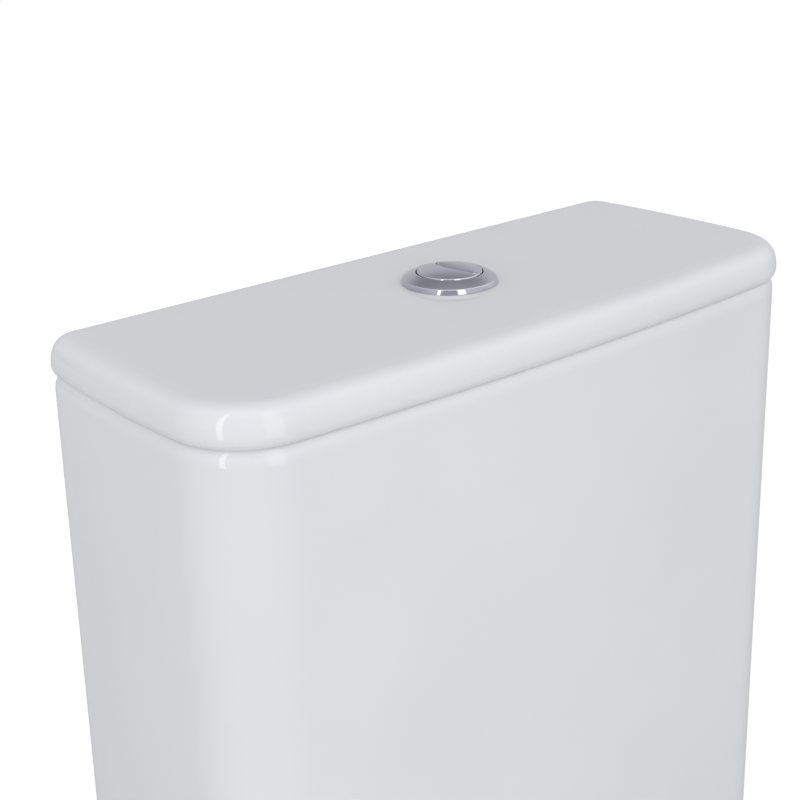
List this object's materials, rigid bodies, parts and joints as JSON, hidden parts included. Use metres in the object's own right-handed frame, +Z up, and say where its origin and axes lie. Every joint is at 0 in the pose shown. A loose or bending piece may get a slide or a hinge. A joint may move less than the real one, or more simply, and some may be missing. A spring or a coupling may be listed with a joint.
{
  "type": "toilet cistern",
  "caption": "Close-coupled ceramic toilet cistern with a lift-off lid, a dual push button, a drop flush valve with overflow and a float fill valve.",
  "frame": {"origin": "on the flush outlet's axis, level with the tank's underside", "axes": "+Z up, +Y towards the wall behind the cistern, +X to the right seen from the front"},
  "size_m": [0.375, 0.1535, 0.454],
  "materials": {
    "china": "white glazed vitreous china",
    "chrome": "bright chrome plate on plastic",
    "white_plastic": "moulded natural-white acetal and polypropylene",
    "blue_plastic": "moulded blue polypropylene",
    "grey_plastic": "moulded pale grey polypropylene",
    "black_rubber": "moulded black rubber",
    "red_rubber": "moulded red silicone rubber",
    "steel": "drawn stainless steel wire and rod",
    "zinc": "zinc-plated steel"
  },
  "bodies": {
    "cistern": {"cistern_tank": "china", "valve_base": "white_plastic", "valve_washer": "black_rubber", "valve_backnut": "white_plastic", "pan_seal": "black_rubber", "valve_tower": "grey_plastic", "lever_pins": "steel", "fill_riser": "white_plastic", "fill_washer": "black_rubber", "fill_nut": "white_plastic", "inlet_filter": "blue_plastic", "fill_head": "white_plastic", "fill_diaphragm": "black_rubber", "fill_cap": "blue_plastic", "fill_lever_pin": "steel", "silencer_tube": "grey_plastic", "pan_bolts": "zinc", "bolt_seals": "black_rubber", "bolt_washers": "zinc", "bolt_nuts": "zinc"},
    "lid": {"cistern_lid": "china", "button_bezel": "chrome", "button_sleeve": "white_plastic", "sleeve_washer": "black_rubber", "sleeve_nut": "white_plastic", "full_flush_spring": "steel", "half_flush_spring": "steel"},
    "full_button": {"full_flush_button": "chrome", "full_flush_rod": "white_plastic"},
    "half_button": {"half_flush_button": "chrome", "half_flush_rod": "white_plastic"},
    "full_lever": {"full_flush_lever": "white_plastic"},
    "half_lever": {"half_flush_lever": "white_plastic"},
    "flush_tube": {"overflow_tube": "white_plastic", "flush_seal": "red_rubber", "seal_retainer": "white_plastic", "lift_head": "blue_plastic", "full_flush_float": "white_plastic"},
    "half_lift": {"half_lift_rod": "white_plastic", "half_flush_float": "blue_plastic"},
    "float": {"fill_float": "white_plastic", "float_rod": "blue_plastic"},
    "float_lever": {"fill_lever": "white_plastic"}
  },
  "joints": [
    {"name": "lid_lift", "type": "slide", "parent": "cistern", "child": "lid", "axis": [0, 0, 1], "range_m": [0, 0.16]},
    {"name": "full_press", "type": "slide", "parent": "lid", "child": "full_button", "axis": [0, 0, -1], "range_m": [0, 0.006], "stiffness_N_per_m": 250, "springref_m": -0.006, "deforming": ["full_flush_spring"]},
    {"name": "half_press", "type": "slide", "parent": "lid", "child": "half_button", "axis": [0, 0, -1], "range_m": [0, 0.006], "stiffness_N_per_m": 250, "springref_m": -0.006, "deforming": ["half_flush_spring"]},
    {"name": "full_lever_turn", "type": "hinge", "parent": "cistern", "child": "full_lever", "pos_m": [-0.024, 0, 0.2457], "axis": [0, 1, 0], "range_deg": [0, 22.93]},
    {"name": "half_lever_turn", "type": "hinge", "parent": "cistern", "child": "half_lever", "pos_m": [0.024, 0, 0.2457], "axis": [0, -1, 0], "range_deg": [0, 22.93]},
    {"name": "tube_lift", "type": "slide", "parent": "cistern", "child": "flush_tube", "axis": [0, 0, 1], "range_m": [0, 0.01066]},
    {"name": "half_lift_slide", "type": "slide", "parent": "cistern", "child": "half_lift", "axis": [0, 0, 1], "range_m": [0, 0.01066]},
    {"name": "float_slide", "type": "slide", "parent": "cistern", "child": "float", "axis": [0, 0, 1], "range_m": [0, 0.02]},
    {"name": "float_lever_turn", "type": "hinge", "parent": "cistern", "child": "float_lever", "pos_m": [-0.116, 0, 0.256], "axis": [0, -1, 0], "range_deg": [0, 31.84]}
  ],
  "couplings": [
    {"joint": "full_lever_turn", "follows": "full_press", "rad_per_m": 66.667},
    {"joint": "tube_lift", "follows": "full_press", "ratio": 1.7743},
    {"joint": "half_lever_turn", "follows": "half_press", "rad_per_m": 66.667},
    {"joint": "half_lift_slide", "follows": "half_press", "ratio": 1.7743},
    {"joint": "float_lever_turn", "follows": "float_slide", "rad_per_m": 27.778}
  ]
}
